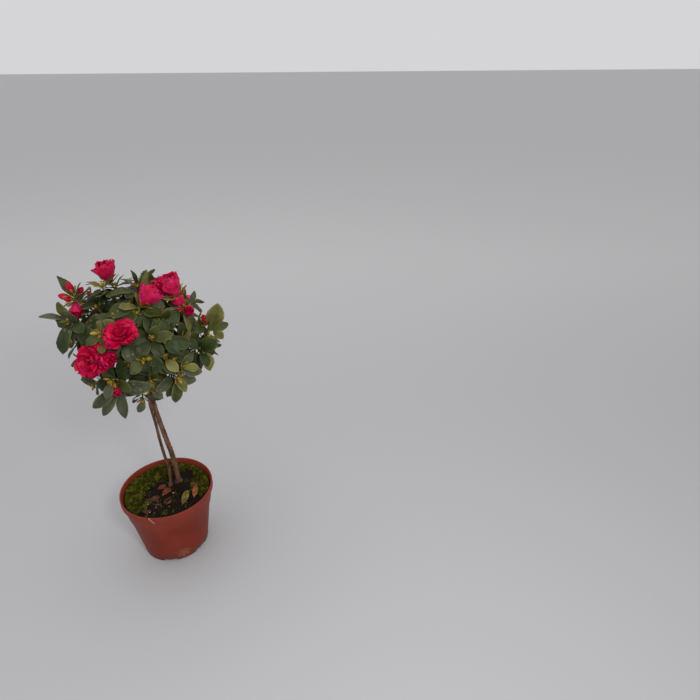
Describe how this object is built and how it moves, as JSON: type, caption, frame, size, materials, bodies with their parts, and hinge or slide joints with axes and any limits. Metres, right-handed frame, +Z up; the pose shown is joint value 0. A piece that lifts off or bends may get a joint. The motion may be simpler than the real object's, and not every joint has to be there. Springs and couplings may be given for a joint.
{
  "type": "azalea shrub",
  "caption": "Azalea trained as a small standard: thin twin stems, a loose round crown of leaf rosettes with double red flowers, and a moss-grown plastic pot.",
  "frame": {"origin": "centre of the pot's flat underside, at the height of the surface that the pot stands on", "axes": "+Z up along the pot's axis, -Y towards the side of the crown with the most flowers, +X to the right seen from there"},
  "size_m": [0.1839, 0.1747, 0.4059],
  "materials": {
    "pot": "satin",
    "soil": "matte",
    "bark": "matte",
    "foliage": "matte"
  },
  "bodies": {
    "root": {"pot": "pot", "soil": "soil", "main_stem": "bark", "second_stem": "bark", "bough_low_right": "bark", "bough_back_left_low": "bark", "bough_back_right_low": "bark", "bough_front_left_low": "bark", "bough_right_low": "bark", "bough_back_low": "bark", "bough_front_right_low": "bark", "bough_left_low": "bark", "bough_right": "bark", "bough_back": "bark", "bough_front_left": "bark", "bough_back_right": "bark", "bough_left_top": "bark", "bough_front_right": "bark", "bough_back_left": "bark", "bough_right_top": "bark", "bough_top_left": "bark", "bough_back_top": "bark", "bough_front_top": "bark", "foliage_low_left": "foliage", "foliage_crown_top": "foliage", "foliage_low_right": "foliage", "foliage_back_left_low": "foliage", "foliage_back_right_low": "foliage", "foliage_front_left_low": "foliage", "foliage_right_low": "foliage", "foliage_back_low": "foliage", "foliage_front_right_low": "foliage", "foliage_left_low": "foliage", "foliage_right": "foliage", "foliage_back": "foliage", "foliage_front_left": "foliage", "foliage_back_right": "foliage", "foliage_left_top": "foliage", "foliage_front_right": "foliage", "foliage_back_left": "foliage", "foliage_right_top": "foliage", "foliage_top_left": "foliage", "foliage_back_top": "foliage", "foliage_front_top": "foliage"}
  },
  "joints": []
}
